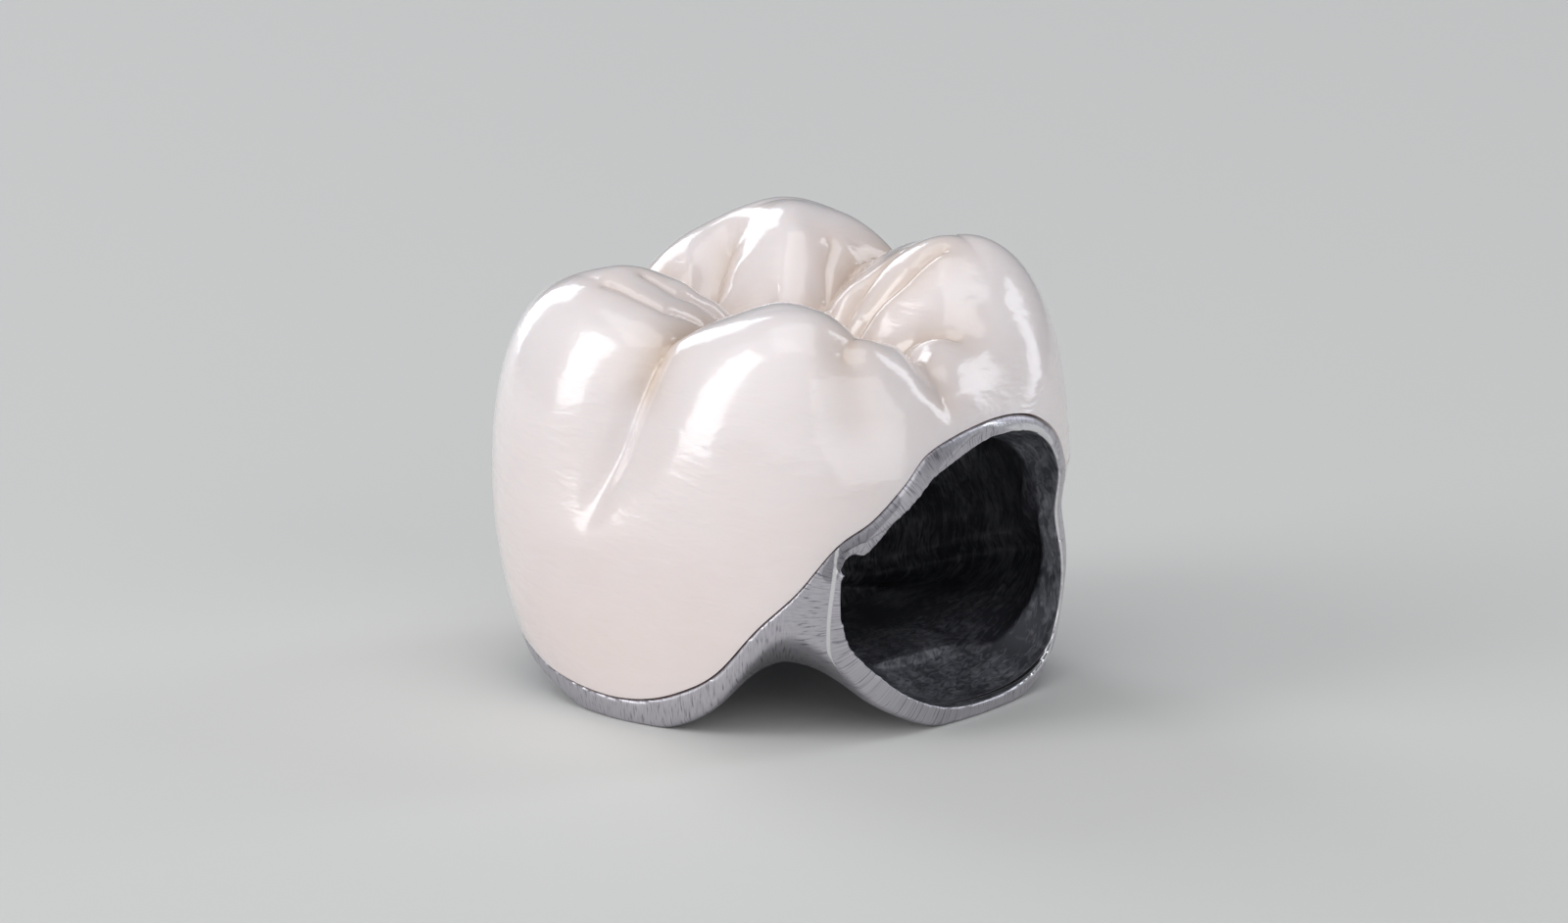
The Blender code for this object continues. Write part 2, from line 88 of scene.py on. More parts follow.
# Narrow fissures over the broad grooves: a line, its half width and depth, and how far it is stained
fissureForm = {
    "lines": [
        ([(-2.6, 0.34), (-1.9, 0.12), (-1.0, 0.16), (0.0, 0.0), (0.9, -0.14), (1.9, -0.12), (2.9, -0.35)],
         0.13, 0.17, 1.0),
        ([(0.0, 0.0), (-0.16, -1.1), (-0.34, -2.2), (-0.2, -3.4), (-0.25, -4.3)], 0.12, 0.16, 0.7),
        ([(2.9, -0.35), (3.1, -1.2), (3.45, -2.1), (3.75, -3.15)], 0.14, 0.09, 0.5),
        ([(2.9, -0.35), (3.8, -0.6), (4.95, -1.3)], 0.14, 0.08, 0.4),
        ([(0.0, 0.0), (0.2, 1.4), (0.1, 2.8), (0.3, 4.1)], 0.12, 0.15, 0.6),
        ([(-2.5, 0.3), (-3.4, 0.7), (-4.5, 1.2)], 0.12, 0.14, 0.6),
        ([(-2.62, 1.88), (-2.5, 1.45), (-2.34, 1.09), (-2.32, 0.7)], 0.11, 0.13, 0.5),
        ([(-0.4, 2.33), (-0.23, 1.87), (0.3, 1.2), (0.78, 0.64)], 0.1, 0.11, 0.4),
        ([(1.56, 2.07), (1.45, 1.31), (1.3, 0.86), (1.16, 0.3)], 0.11, 0.14, 0.5),
        ([(2.73, 1.88), (2.31, 1.18), (1.76, 0.59), (1.5, 0.1)], 0.11, 0.14, 0.5),
        ([(4.11, 0.37), (3.09, 0.24), (2.55, -0.1)], 0.11, 0.13, 0.5),
        ([(-2.21, -3.12), (-1.5, -3.12), (-0.88, -3.01), (-0.45, -2.28)], 0.1, 0.12, 0.3),
        ([(-1.85, -2.28), (-1.18, -2.12), (-0.75, -1.57), (-0.3, -1.3)], 0.1, 0.11, 0.3),
    ],
    "stainReach": 0.42,
    "sharpness": 1.2,
    # small mounds between the fissures: (X, Y), reach and rise
    "mounds": [(-3.13, 1.02, 0.35, 0.12), (0.05, 2.5, 0.4, 0.12), (2.08, 0.52, 0.35, 0.14),
               (3.4, 0.9, 0.4, 0.1), (0.03, 1.9, 0.25, 0.09), (-0.86, 1.9, 0.35, 0.08),
               (-1.3, -1.6, 0.35, 0.1), (-0.77, -1.2, 0.3, 0.08), (3.95, 1.1, 0.25, 0.08),
               (-2.66, 0.63, 0.22, 0.08), (1.05, 1.0, 0.22, 0.07), (-2.05, 1.35, 0.22, 0.07),
               (3.0, 1.6, 0.3, 0.07), (-0.2, 1.2, 0.2, 0.06)],
}

# Side grooves: angle at the top and at the foot, height of each, width and depth
sideGrooves = {
    "lines": [(-91, -107, 8.2, 3.6, 0.34, 0.26), (-39, -36, 8.2, 5.6, 0.5, 0.12),
              (-14, -11, 7.9, 6.9, 0.3, 0.12), (86, 88, 8.3, 4.4, 0.34, 0.22),
              (180, 180, 8.3, 1.2, 0.9, 0.06)],
    "valleyWidth": 1.3,
    "valleyShare": 1.3,
}

wallForm = {
    "porcelainOnTop": 1.15,
    "porcelainOnSide": 1.1,
    "porcelainAtMargin": 0.42,
    "marginTaper": 1.6,
    "bondGap": 0.03,
    "metal": 0.42,
    "coreShoulder": 3.7,
    "coreSharpness": 8.0,
    "chamberFullness": 14.0,
    "sideFrom": 2.6,  # a profile's side wall is farther out than this
}


def easeIn(share):
    share = np.clip(share, 0.0, 1.0)
    return share * share * (3 - 2 * share)


def between(first, second, share):
    return first + (second - first) * share


def roundTheCrown(table, angle):
    # a smooth closed curve through (degrees, value) pairs
    marks = np.array([pair[0] for pair in table], float)
    values = np.array([pair[1] for pair in table], float)
    marks = np.concatenate([marks[-2:] - 360, marks, marks[:3] + 360])
    values = np.concatenate([values[-2:], values, values[:3]])
    degrees = (np.degrees(angle) - table[0][0]) % 360 + table[0][0]
    place = np.clip(np.searchsorted(marks, degrees, side="right") - 1, 1, len(marks) - 3)
    span = marks[place + 1] - marks[place]
    startSlope = (values[place + 1] - values[place - 1]) / (marks[place + 1] - marks[place - 1]) * span
    endSlope = (values[place + 2] - values[place]) / (marks[place + 2] - marks[place]) * span
    share = (degrees - marks[place]) / span
    square, cube = share**2, share**3
    return (values[place] * (2 * cube - 3 * square + 1) + startSlope * (cube - 2 * square + share)
            + values[place + 1] * (3 * square - 2 * cube) + endSlope * (cube - square))


def superellipse(angle, halfLength, halfWidth, squareness):
    along = np.abs(np.cos(angle) / halfLength) ** squareness
    across = np.abs(np.sin(angle) / halfWidth) ** squareness
    return (along + across) ** (-1 / squareness)


def outlineRadius(angle, height):
    form = crownForm
    above = np.clip(1 - np.maximum(height, 0) / form["contourHeight"], 0, 1)
    share = 1 - above ** form["wallFullness"]
    radius = superellipse(angle, between(form["neckLength"], form["length"], share) / 2,
                          between(form["neckWidth"], form["width"], share) / 2,
                          between(form["neckSquareness"], form["contourSquareness"], share))
    waist = np.exp(-(((height - form["waistHeight"]) / form["waistReach"]) ** 2))
    return (radius + roundTheCrown(form["neckSwellings"], angle) * (1 - share)
            - roundTheCrown(form["waists"], angle) * waist)


def sideGrooveDepth(angle, height):
    total = 0.0
    for topAngle, footAngle, top, foot, width, depth in sideGrooves["lines"]:
        share = (top - height) / (top - foot)
        centre = np.radians(between(topAngle, footAngle, np.clip(share, 0, 1)))
        away = ((angle - centre + math.pi) % (2 * math.pi) - math.pi) * crownForm["width"] / 2
        sharp = np.exp(-((away / width) ** 2))
        broad = np.exp(-((away / sideGrooves["valleyWidth"]) ** 2)) * sideGrooves["valleyShare"]
        total = total + depth * (1 - easeIn(share * 2 - 1)) * (sharp + broad)
    return total


def alongLine(x, y, start, end):
    # distance to a straight line, and how far along it the nearest place is
    runX, runY = end[0] - start[0], end[1] - start[1]
    share = np.clip(((x - start[0]) * runX + (y - start[1]) * runY) / (runX**2 + runY**2), 0, 1)
    return np.hypot(x - start[0] - runX * share, y - start[1] - runY * share), share


def distanceToRoute(x, y, route):
    away = [alongLine(x, y, start, end)[0] for start, end in zip(route, route[1:])]
    return np.min(away, axis=0)


def fissureDepth(x, y):
    depth = 0.0
    for route, width, deep, _ in fissureForm["lines"]:
        away = distanceToRoute(x, y, route) / width
        depth = np.maximum(depth, deep * np.exp(-(away ** fissureForm["sharpness"])))
    return depth


def fissureStain(x, y):
    stain = 0.0
    for route, _, _, amount in fissureForm["lines"]:
        away = distanceToRoute(x, y, route)
        stain = np.maximum(stain, amount * np.exp(-away / fissureForm["stainReach"]))
    return stain


def chewingHeight(x, y, grooved):
    form = chewingForm
    angle, radius = np.arctan2(y, x), np.hypot(x, y)
    crestRadius = outlineRadius(angle, crownForm["contourHeight"]) * crownForm["crestShare"]
    inward, _ = alongLine(x, y, form["mesialPit"], form["distalPit"])
    share = inward / (inward + np.maximum(crestRadius - radius, 0) + 1e-9)
    crest = roundTheCrown(crownForm["crests"], angle)
    height = between(form["centralHeight"], crest, np.sin(share * math.pi / 2))
    for start, end, width, rise in form["ridges"]:
        away, place = alongLine(x, y, start, end)
        height = height + rise * np.exp(-((away / width) ** 2)) * np.sin(math.pi * place)
    if grooved:
        depth = np.exp(-((inward / form["grooveWidth"]) ** 2))
        for start, end in form["branches"]:
            away, _ = alongLine(x, y, start, end)
            depth = np.maximum(depth, np.exp(-((away / form["grooveWidth"]) ** 2)) * (1 - share / 2))
        height = height - form["grooveDepth"] * depth - fissureDepth(x, y)
        for moundX, moundY, reach, rise in fissureForm["mounds"]:
            height = height + rise * np.exp(-((x - moundX) ** 2 + (y - moundY) ** 2) / reach**2)
    return height


def resample(route, count, weights=None):
    # points along a route of (radius, height), closer together where the weight is more
    steps = np.hypot(*np.diff(route, axis=0).T)
    if weights is not None:
        steps = steps * (weights[1:] + weights[:-1]) / 2
    lengths = np.concatenate([[0], np.cumsum(steps)])
    wanted = np.linspace(0, lengths[-1], count + 1)
    return np.stack([np.interp(wanted, lengths, route[:, axis]) for axis in (0, 1)], axis=1)


def cutRoute(profile, start, end):
    # the part of a profile between two fractional places, with both ends
    places = np.arange(len(profile))
    inner = profile[(places > start) & (places < end)]
    ends = [np.array([np.interp(place, places, profile[:, axis]) for axis in (0, 1)]) for place in (start, end)]
    return np.vstack([ends[0], inner, ends[1]])


profileSteps = 160
outwardShares = np.sin(math.pi / 2 * np.arange(profileSteps + 1) / profileSteps)
inwardShares = np.cos(math.pi / 2 * np.arange(1, profileSteps + 1) / profileSteps)


def collarHeight(angle):
    return float(roundTheCrown(crownForm["collar"], angle))


def outerProfile(angle):
    form = crownForm
    widest = outlineRadius(angle, form["contourHeight"])
    share = np.sin(math.pi / 4 * np.arange(profileSteps * 2 + 1) / profileSteps)
    top = chewingHeight(widest * share * math.cos(angle), widest * share * math.sin(angle), True)
    height = between(form["contourHeight"], top, np.sqrt(1 - share ** form["shoulderSharpness"]))
    sunk = sideGrooveDepth(angle, height) * easeIn(share * 3 - 2)  # only over the outer third
    crown = np.stack([widest * share - sunk, height], axis=1)
    edge = max(float(roundTheCrown(form["lowerEdge"], angle)), -form["lowerEdgeRounding"])
    foot = edge + form["lowerEdgeRounding"]
    height = np.linspace(form["contourHeight"], foot, profileSteps + 1)[1:]
    wall = np.stack([outlineRadius(angle, height) - sideGrooveDepth(angle, height), height], axis=1)
    underside = between(form["undersideHeight"], edge, inwardShares ** form["undersideFullness"])
    rolled = np.sqrt(1 - inwardShares ** form["shoulderSharpness"])
    base = np.stack([wall[-1, 0] * inwardShares, np.maximum(between(foot, underside, rolled), 0)], axis=1)
    return np.vstack([crown, wall, base])


def sidePlace(profile, height):
    # where a profile comes down its side wall to a height
    heights = np.where(profile[:, 0] > wallForm["sideFrom"], profile[:, 1], -1)
    start = int(np.argmax(heights))
    below = np.nonzero(profile[start + 1:, 1] < height)[0]
    place = start + int(below[0])
    high, low = profile[place, 1], profile[place + 1, 1]
    return place + (high - height) / (high - low)


def porcelainThickness(aboveMargin):
    return between(wallForm["porcelainAtMargin"], wallForm["porcelainOnSide"],
                   easeIn(aboveMargin / wallForm["marginTaper"]))


def coreProfile(angle, margin, count):
    form = wallForm
    reach = outlineRadius(angle, crownForm["contourHeight"]) * outwardShares
    top = chewingHeight(reach * math.cos(angle), reach * math.sin(angle), False) - form["porcelainOnTop"]
    height = between(form["coreShoulder"], top, np.sqrt(1 - outwardShares ** form["coreSharpness"]))
    radius = outlineRadius(angle, height) - porcelainThickness(height - margin)
    roof = np.stack([radius * outwardShares, height], axis=1)
    height = np.linspace(form["coreShoulder"], 0, profileSteps + 1)[1:]
    wall = np.stack([outlineRadius(angle, height) - porcelainThickness(height - margin), height], axis=1)
    profile = np.vstack([roof, wall])
    return resample(cutRoute(profile, 0, sidePlace(profile, margin)), count)


def chamberProfile(angle, margin, count):
    form = wallForm
    edge = max(float(roundTheCrown(crownForm["lowerEdge"], angle)), 0.0)

    def wallRadius(height):
        underPorcelain = easeIn((height - margin) / form["metal"] + 2)
        return (outlineRadius(angle, height) - form["metal"]
                - porcelainThickness(height - margin) * underPorcelain)

    reach = outlineRadius(angle, crownForm["contourHeight"]) * outwardShares
    roof = chewingHeight(reach * math.cos(angle), reach * math.sin(angle), False)
    roof = roof - form["porcelainOnTop"] - form["metal"]
    height = between(form["coreShoulder"], roof, np.sqrt(1 - outwardShares ** form["coreSharpness"]))
    upper = np.stack([wallRadius(height) * outwardShares, height], axis=1)
    floor = between(crownForm["undersideHeight"], edge, inwardShares ** crownForm["undersideFullness"])
    floor = floor + form["metal"]
    height = between(form["coreShoulder"], floor, np.sqrt(1 - inwardShares ** form["chamberFullness"]))
    lower = np.stack([wallRadius(height) * inwardShares, height], axis=1)
    return resample(np.vstack([upper, lower]), count)


def pushedOut(profile, distance):
    # a profile moved outward, its first point kept on the axis and its last one level
    run = profile[2:] - profile[:-2]
    length = np.hypot(*run.T)
    moved = profile.copy()
    moved[1:-1, 0] -= run[:, 1] / length * distance
    moved[1:-1, 1] += run[:, 0] / length * distance
    moved[0, 1] += distance
    moved[-1] += distance
    return moved


def selectOnly(piece):
    bpy.ops.object.select_all(action="DESELECT")
    piece.select_set(True)
    bpy.context.view_layer.objects.active = piece


def vertexPlaces(piece, unit=mm):
    places = np.empty(len(piece.data.vertices) * 3)
    piece.data.vertices.foreach_get("co", places)
    return places.reshape(-1, 3) / unit


def shapedSphere(name, columns, sections):
    # a UV sphere whose rings are laid along one profile for each column round the crown
    rings = sections.shape[1] - 1
    bpy.ops.object.select_all(action="DESELECT")
    bpy.ops.mesh.primitive_uv_sphere_add(segments=columns, ring_count=rings, radius=1)
    piece = bpy.context.object
    piece.name = piece.data.name = name
    unit = vertexPlaces(piece, 1)
    ring = np.rint(np.arccos(np.clip(unit[:, 2], -1, 1)) / math.pi * rings).astype(int)
    angle = np.arctan2(unit[:, 1], unit[:, 0]) % (2 * math.pi)
    column = np.rint(angle / (2 * math.pi) * columns).astype(int) % columns
    turn = 2 * math.pi * column / columns
    radius, height = sections[column, ring, 0], sections[column, ring, 1]
    radius = np.where((ring == 0) | (ring == rings), 0, radius)
    height = np.where(ring == 0, sections[0, 0, 1], np.where(ring == rings, sections[0, -1, 1], height))
    place = np.stack([radius * np.cos(turn), radius * np.sin(turn), height], axis=1) * mm
    piece.data.vertices.foreach_set("co", place.ravel())
    piece.data.update()
    return piece


def everyAngle(columns):
    return [2 * math.pi * column / columns for column in range(columns)]


def linear(hexColour):
    channels = [int(hexColour[i:i + 2], 16) / 255 for i in (1, 3, 5)]
    return tuple(c / 12.92 if c <= 0.04045 else ((c + 0.055) / 1.055) ** 2.4 for c in channels) + (1.0,)


def addNode(tree, kind, settings=None, links=None):
    # one node with its settings, and links given as {its input: (other node, that node's output)}
    node = tree.nodes.new(kind)
    for name, value in (settings or {}).items():
        if isinstance(name, int) or name in node.inputs:
            node.inputs[name].default_value = value
        else:
            setattr(node, name, value)
    for name, (source, output) in (links or {}).items():
        tree.links.new(source.outputs[output], node.inputs[name])
    return node


def newMaterial(name):
    material = bpy.data.materials.new(name)
    material.use_nodes = True
    return material, material.node_tree, material.node_tree.nodes["Principled BSDF"]


def giveAttribute(piece, name, kind, values):
    layer = piece.data.attributes.new(name, kind, "POINT")
    field = "vector" if kind == "FLOAT_VECTOR" else "value"
    layer.data.foreach_set(field, np.asarray(values, np.float32).ravel())


porcelainLook = {
    "cusps": "#F3EBEC",
    "neck": "#EDDFDC",
    "fissure": "#C9AC8D",
    "roughness": 0.22,
    "glazeRoughness": 0.11,
    "neckToCusps": (1.5, 8.0),  # heights between which the one colour turns into the other
    "mottleSize": 1.4,
    "mottleReach": 0.5,
    # low ripples in the glaze: millimetres round the crown, up it and deep
    "ripples": [(1.2, 0.5, 0.02), (0.5, 0.17, 0.006)],
    "ior": 1.52,
    "glazeIor": 1.5,
    "glow": 0.18,
    "glowDepth": 0.6,
    "glowReach": (1.0, 0.7, 0.5),  # red light goes deepest into it
}


def glazedPorcelain():
    # feldspathic porcelain under a fired glaze: deep gloss with a faint ripple, a little light let in,
    # whiter at the cusps, and warm where the fissures were stained
    look = porcelainLook
    material, tree, shader = newMaterial("glazed feldspathic porcelain")
    place = addNode(tree, "ShaderNodeTexCoord")
    split = addNode(tree, "ShaderNodeSeparateXYZ", links={0: (place, "Object")})
    low, high = look["neckToCusps"]
    rise = addNode(tree, "ShaderNodeMapRange", {"From Min": low * mm, "From Max": high * mm}, {0: (split, "Z")})
    mottle = addNode(tree, "ShaderNodeTexNoise", {"Scale": 1 / (look["mottleSize"] * mm), "Detail": 3.0},
                     {"Vector": (place, "Object")})
    sway = addNode(tree, "ShaderNodeMath", {"operation": "MULTIPLY_ADD", 1: look["mottleReach"],
                                            2: -look["mottleReach"] / 2}, {0: (mottle, 0)})
    climb = addNode(tree, "ShaderNodeMath", {"operation": "ADD", "use_clamp": True},
                    {0: (rise, 0), 1: (sway, 0)})
    body = addNode(tree, "ShaderNodeMix", {"data_type": "RGBA", 6: linear(look["neck"]),
                                           7: linear(look["cusps"])}, {0: (climb, 0)})
    stain = addNode(tree, "ShaderNodeAttribute", {"attribute_name": "stain"})
    colour = addNode(tree, "ShaderNodeMix", {"data_type": "RGBA", 7: linear(look["fissure"])},
                     {0: (stain, "Fac"), 6: (body, 2)})
    tree.links.new(colour.outputs[2], shader.inputs["Base Color"])
    # the glaze drew into low ripples as it ran, longer round the crown than up it
    bump = None
    for level, up, deep in look["ripples"]:
        scale = (1 / (level * mm), 1 / (level * mm), 1 / (up * mm))
        stretched = addNode(tree, "ShaderNodeMapping", {"Scale": scale}, {0: (place, "Object")})
        ripple = addNode(tree, "ShaderNodeTexNoise", {"Scale": 1.0, "Detail": 2.0, "Distortion": 0.6},
                         {"Vector": (stretched, 0)})
        below = {"Normal": (bump, 0)} if bump else {}
        bump = addNode(tree, "ShaderNodeBump", {"Distance": deep * mm}, {"Height": (ripple, 0), **below})
    tree.links.new(bump.outputs[0], shader.inputs["Normal"])
    tree.links.new(bump.outputs[0], shader.inputs["Coat Normal"])
    for name, value in {"Roughness": look["roughness"], "IOR": look["ior"], "Coat Weight": 1.0,
                        "Coat Roughness": look["glazeRoughness"], "Coat IOR": look["glazeIor"],
                        "Subsurface Weight": look["glow"], "Subsurface Scale": look["glowDepth"] * mm,
                        "Subsurface Radius": look["glowReach"]}.items():
        shader.inputs[name].default_value = value
    return material


alloyLook = {
    "collar": "#B6B3BB",
    # bright scratches on the band, and the painted highlight along the edges
    "tick": "#77757E",
    "brightScratchAndEdgeHighlight": "#E6E5E8",
    # painted shade on the facet beside the rim
    "facetShade": "#5A5962",
    "oxide": "#3D3E45",
    "oxideWorn": "#82838A",
    "collarRoughness": 0.36,
    "edgeLineRoughness": 0.2,
    "oxideRoughness": 0.46,
    "oxideMetallic": 0.45,
    "skin": (0.035, 0.06),  # millimetres under the ground surface where the dark inside begins
    # the stone's scratches across the band: gap, length and depth
    "scratches": (0.032, 0.3, 0.0015),
    # the brush's strokes inside, and the patches that they wore
    "strokes": (0.1, 0.34, 0.006),
    "patchSize": 1.5,
    "wornFrom": (0.2, 0.42),
    # where a scratch turns bright and where it turns dark, and how much
    "brightFrom": (0.35, 0.7, 0.45),
    "darkFrom": (0.42, 0.34, 0.75),
    # where the painted shade on the facet beside the rim fades in, and where it is full
    "facetShadeFrom": (0.75, 1.25),
    # where the painted highlight along the edges fades in, and where it is full
    "edgeHighlightFrom": (1.6, 1.2),
}


def groundAlloy():
    # cast dental alloy: its band ground with a fine stone across its width, a painted highlight along its
    # edges, a painted shade on the facet beside the rim, and its inside left dark with the oxide of the furnace
    # and the marks of a brush
    look = alloyLook
    material, tree, shader = newMaterial("ground dental alloy")
    marks = {name: addNode(tree, "ShaderNodeAttribute", {"attribute_name": name})
             for name in ("under", "edgeAway", "shadedFacet", "nearMouth")}
    grains = {name: addNode(tree, "ShaderNodeAttribute", {"attribute_name": name})
              for name in ("mouthGrain", "collarGrain", "insideGrain")}

    def streaks(grain, gap, length, detail, sway=0.3):
        scale = addNode(tree, "ShaderNodeMapping", {"Scale": (1 / gap, 1 / length, 1 / length)},
                        {0: (grains[grain], "Vector")})
        return addNode(tree, "ShaderNodeTexNoise", {"Scale": 1.0, "Detail": detail, "Distortion": sway},
                       {"Vector": (scale, 0)})

    scratchGap, scratchLength, scratchDepth = look["scratches"]
    strokeGap, strokeLength, strokeDepth = look["strokes"]
    overMouth = streaks("mouthGrain", scratchGap, scratchLength, 3.0)
    overCollar = streaks("collarGrain", scratchGap, scratchLength, 3.0)
    scratch = addNode(tree, "ShaderNodeMix", {"data_type": "FLOAT"},
                      {0: (marks["nearMouth"], "Fac"), 2: (overCollar, 0), 3: (overMouth, 0)})
    stroke = streaks("insideGrain", strokeGap, strokeLength, 4.0, 1.2)
    inside = addNode(tree, "ShaderNodeMapRange", {"From Min": look["skin"][0], "From Max": look["skin"][1]},
                     {0: (marks["under"], "Fac")})
    place = addNode(tree, "ShaderNodeTexCoord")
    patch = addNode(tree, "ShaderNodeTexNoise", {"Scale": 1 / (look["patchSize"] * mm), "Detail": 5.0,
                                                 "Roughness": 0.65}, {"Vector": (place, "Object")})
    brushed = addNode(tree, "ShaderNodeMath", {"operation": "MULTIPLY"}, {0: (stroke, 0), 1: (patch, 0)})
    low, high = look["wornFrom"]
    worn = addNode(tree, "ShaderNodeMapRange", {"From Min": low, "From Max": high}, {0: (brushed, 0)})
    oxide = addNode(tree, "ShaderNodeMix", {"data_type": "RGBA", 6: linear(look["oxide"]),
                                            7: linear(look["oxideWorn"])}, {0: (worn, 0)})
    band = linear(look["collar"])
    collar = None
    for marked, fromWhere in (("brightScratchAndEdgeHighlight", "brightFrom"), ("tick", "darkFrom")):
        low, high, most = look[fromWhere]
        amount = addNode(tree, "ShaderNodeMapRange", {"From Min": low, "From Max": high, "To Max": most},
                         {0: (scratch, 0)})
        below = {6: (collar, 2)} if collar else {}
        collar = addNode(tree, "ShaderNodeMix", {"data_type": "RGBA", 6: band, 7: linear(look[marked])},
                         {0: (amount, 0), **below})
    # painted shade on the facet beside the rim, streaked by the scratches
    shadeStreak = addNode(tree, "ShaderNodeMath", {"operation": "MULTIPLY_ADD", 1: 1.2, "use_clamp": True},
                           {0: (scratch, 0), 2: (marks["shadedFacet"], "Fac")})
    low, high = look["facetShadeFrom"]
    shadeOn = addNode(tree, "ShaderNodeMapRange", {"From Min": low, "From Max": high}, {0: (shadeStreak, 0)})
    facetShade = addNode(tree, "ShaderNodeMix", {"data_type": "RGBA", 7: linear(look["facetShade"])},
                       {0: (shadeOn, 0), 6: (collar, 2)})
    # the painted highlight along the edges: its width wanders with the strokes that crossed it
    fringe = addNode(tree, "ShaderNodeMath", {"operation": "MULTIPLY_ADD", 1: 0.9},
                     {0: (scratch, 0), 2: (marks["edgeAway"], "Fac")})
    low, high = look["edgeHighlightFrom"]
    edgeHighlight = addNode(tree, "ShaderNodeMapRange", {"From Min": low, "From Max": high}, {0: (fringe, 0)})
    outside = addNode(tree, "ShaderNodeMix", {"data_type": "RGBA", 7: linear(look["brightScratchAndEdgeHighlight"])},
                      {0: (edgeHighlight, 0), 6: (facetShade, 2)})
    colour = addNode(tree, "ShaderNodeMix", {"data_type": "RGBA"},
                     {0: (inside, 0), 6: (outside, 2), 7: (oxide, 2)})
    tree.links.new(colour.outputs[2], shader.inputs["Base Color"])
    # the line of painted highlight along the edges is also less rough
    polish = addNode(tree, "ShaderNodeMix", {"data_type": "FLOAT", 2: look["collarRoughness"],
                                             3: look["edgeLineRoughness"]}, {0: (edgeHighlight, 0)})
    rough = addNode(tree, "ShaderNodeMix", {"data_type": "FLOAT", 3: look["oxideRoughness"]},
                    {0: (inside, 0), 2: (polish, 0)})
    tree.links.new(rough.outputs[0], shader.inputs["Roughness"])
    scratchBump = addNode(tree, "ShaderNodeBump", {"Distance": scratchDepth * mm}, {"Height": (scratch, 0)})
    strokeBump = addNode(tree, "ShaderNodeBump", {"Distance": strokeDepth * mm}, {"Height": (stroke, 0)})
    normal = addNode(tree, "ShaderNodeMix", {"data_type": "VECTOR"},
                     {0: (inside, 0), 4: (scratchBump, 0), 5: (strokeBump, 0)})
    tree.links.new(normal.outputs[1], shader.inputs["Normal"])
    metallic = addNode(tree, "ShaderNodeMix", {"data_type": "FLOAT", 2: 1.0, 3: look["oxideMetallic"]},
                       {0: (inside, 0)})
    tree.links.new(metallic.outputs[0], shader.inputs["Metallic"])
    return material


veneerMesh = {
    "columns": 460,
    "outsideRows": 178,
    "insideRows": 12,
    "chewingWeight": 1.9,  # rows are this much closer together over the chewing surface
    "chewingEnds": (4.0, 0.8),  # radius where that ends, and over how far it fades
    "stainStarts": (6.2, 0.8),  # height where the fissures' stain starts, and over how far it comes in
    "sharpAngle": 50,
}


def porcelainVeneer():
    sections = []
    ends, fade = veneerMesh["chewingEnds"]
    for angle in everyAngle(veneerMesh["columns"]):
        margin = collarHeight(angle)
        profile = outerProfile(angle)
        foot = sidePlace(profile, margin + wallForm["bondGap"])
        route = cutRoute(profile, 0, foot)
        weights = between(veneerMesh["chewingWeight"], 1.0, easeIn((route[:, 0] - ends) / fade))
        outside = resample(route, veneerMesh["outsideRows"], weights)
        inside = pushedOut(coreProfile(angle, margin, veneerMesh["insideRows"]), wallForm["bondGap"])
        sections.append(np.vstack([outside, inside[::-1]]))
    veneer = shapedSphere("porcelainVeneer", veneerMesh["columns"], np.array(sections))
    x, y, z = vertexPlaces(veneer).T
    starts, fade = veneerMesh["stainStarts"]
    giveAttribute(veneer, "stain", "FLOAT", fissureStain(x, y) * easeIn((z - starts) / fade))
    veneer.data.materials.append(glazedPorcelain())
    selectOnly(veneer)
    bpy.ops.object.shade_smooth_by_angle(angle=math.radians(veneerMesh["sharpAngle"]))
    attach(veneer, "root")
    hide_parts("porcelain_veneer")
    print("porcelain veneer", len(veneer.data.polygons))
    return veneer


copingMesh = {
    "columns": 300,
    "coreRows": 20,
    "collarRows": 46,
    "rollRows": 16,
    "undersideRows": 18,
    "rollShare": 0.45,
    "chamberColumns": 200,
    "chamberRows": 70,
    "grain": 0.045,  # size of the remeshed faces, which also rounds the edges
    "worn": 12,  # times that the edges are smoothed
    "faces": 190000,
    "fineWidth": 0.75,  # no faces are taken this near to the mouth's edge
}

mouthForm = {
    # edge of the opening in the distal side as (Y, Z), and the small hook at the end of its rim
    "edge": [(-1.98, 5.2), (-1.14, 5.6), (-0.3, 5.88), (0.43, 5.93), (1.37, 5.72), (2.05, 5.22), (2.5, 4.4),
             (2.68, 3.5), (2.8, 2.6), (2.88, 1.55), (2.42, 0.84), (1.5, 0.43), (0.33, 0.3), (-1.03, 0.37),
             (-1.98, 0.65), (-2.72, 1.05), (-3.36, 1.6), (-3.78, 2.1), (-3.94, 2.6), (-4.0, 3.06),
             (-3.99, 3.45), (-3.92, 3.82)],
    "hook": [(-3.83, 3.99), (-3.7, 4.05), (-3.58, 4.05), (-3.48, 4.0), (-3.37, 4.0), (-3.18, 4.12),
             (-2.88, 4.38), (-2.53, 4.72)],
    "hookFree": [(-3.4, 4.1), (-2.53, 4.74)],
    "rimWidth": 0.35,
    "rimSide": (-0.64, 0.77),
    "rimSideFrom": 0.75,
    "rimSideBlend": 0.2,
    "rimInset": 0.05,
    "faceX": 4.85,
    "leanY": 0.11,
    "leanZ": 0.085,
    "bow": 0.03,
    "depth": 1.4,
    "narrowing": 0.2,
    "curve": 1.5,
    "segments": 300,
    "startX": 8.6,  # the cutters start outside the crown
    "depthRings": 8,
    "closing": (0.75, 0.5, 0.25, 0.05),  # shares of the last ring, down to the middle
}

baseForm = {
    "centreX": -1.9,
    "endX": 0.85,
    "rim": 0.5,
    "flare": 0.9,
    "squareness": 6,
    "segments": 160,
    "startZ": -3,
}


